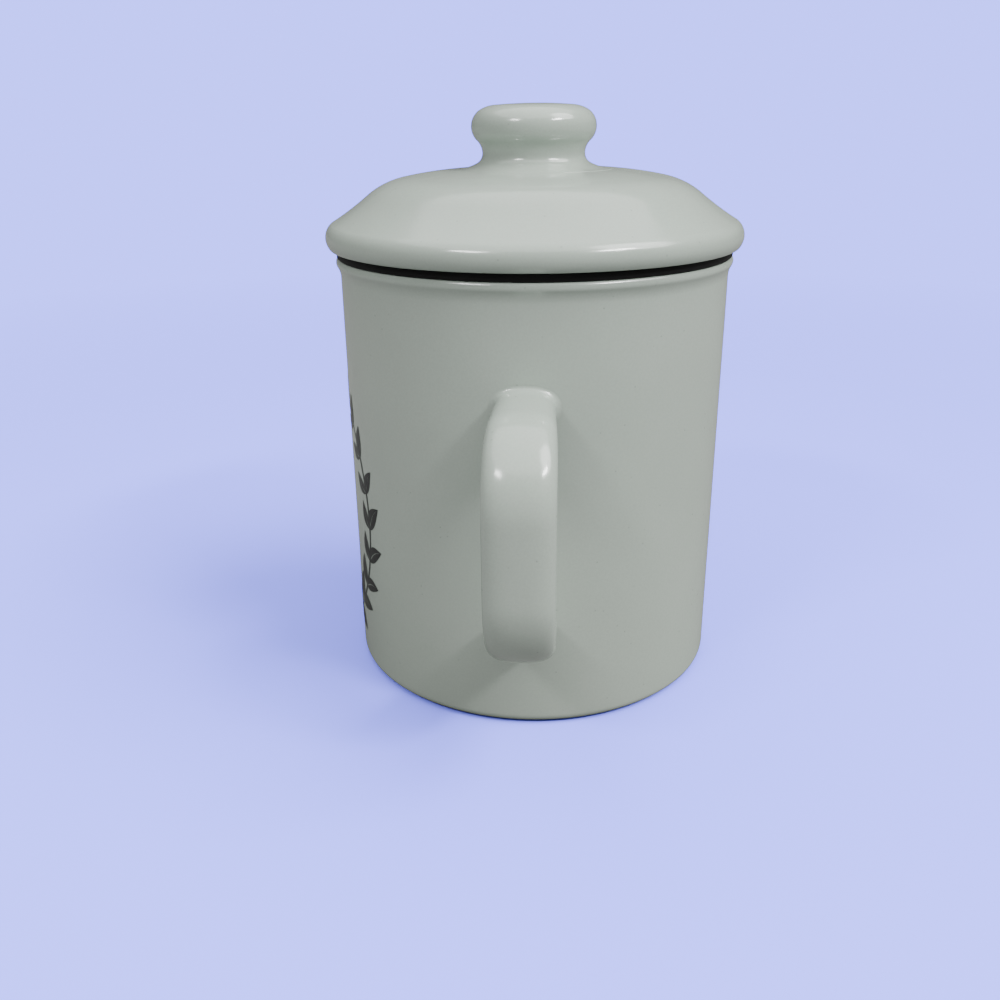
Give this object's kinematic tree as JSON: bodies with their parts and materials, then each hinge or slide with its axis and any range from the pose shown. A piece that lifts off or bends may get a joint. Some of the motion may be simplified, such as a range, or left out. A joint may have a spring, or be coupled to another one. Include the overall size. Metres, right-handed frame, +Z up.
{
  "type": "bacon grease container",
  "caption": "Lidded ceramic jar with a strap handle, a silicone-sealed lid with a knob, and a lift-out steel strainer for keeping cooking fat.",
  "frame": {"origin": "on the jar's axis, in the plane of its foot ring", "axes": "+Z up along the jar's axis, -Y towards the strap handle"},
  "size_m": [0.1088, 0.1392, 0.15],
  "materials": {
    "glaze": "glossy",
    "seal": "matte",
    "steel": "brushed"
  },
  "bodies": {
    "jar": {"jar_body": "glaze", "strap_handle": "glaze"},
    "strainer": {"strainer_cup": "steel", "strainer_mesh": "steel", "mesh_ring": "steel", "finger_loop_right": "steel", "finger_loop_left": "steel"},
    "lid": {"lid_dome": "glaze", "lid_knob": "glaze", "seal_ring": "seal"}
  },
  "joints": [
    {"name": "strainer_lift", "type": "slide", "parent": "jar", "child": "strainer", "axis": [0, 0, 1], "range_m": [0, 0.07]},
    {"name": "lid_lift", "type": "slide", "parent": "strainer", "child": "lid", "axis": [0, 0, 1], "range_m": [0, 0.06]}
  ]
}
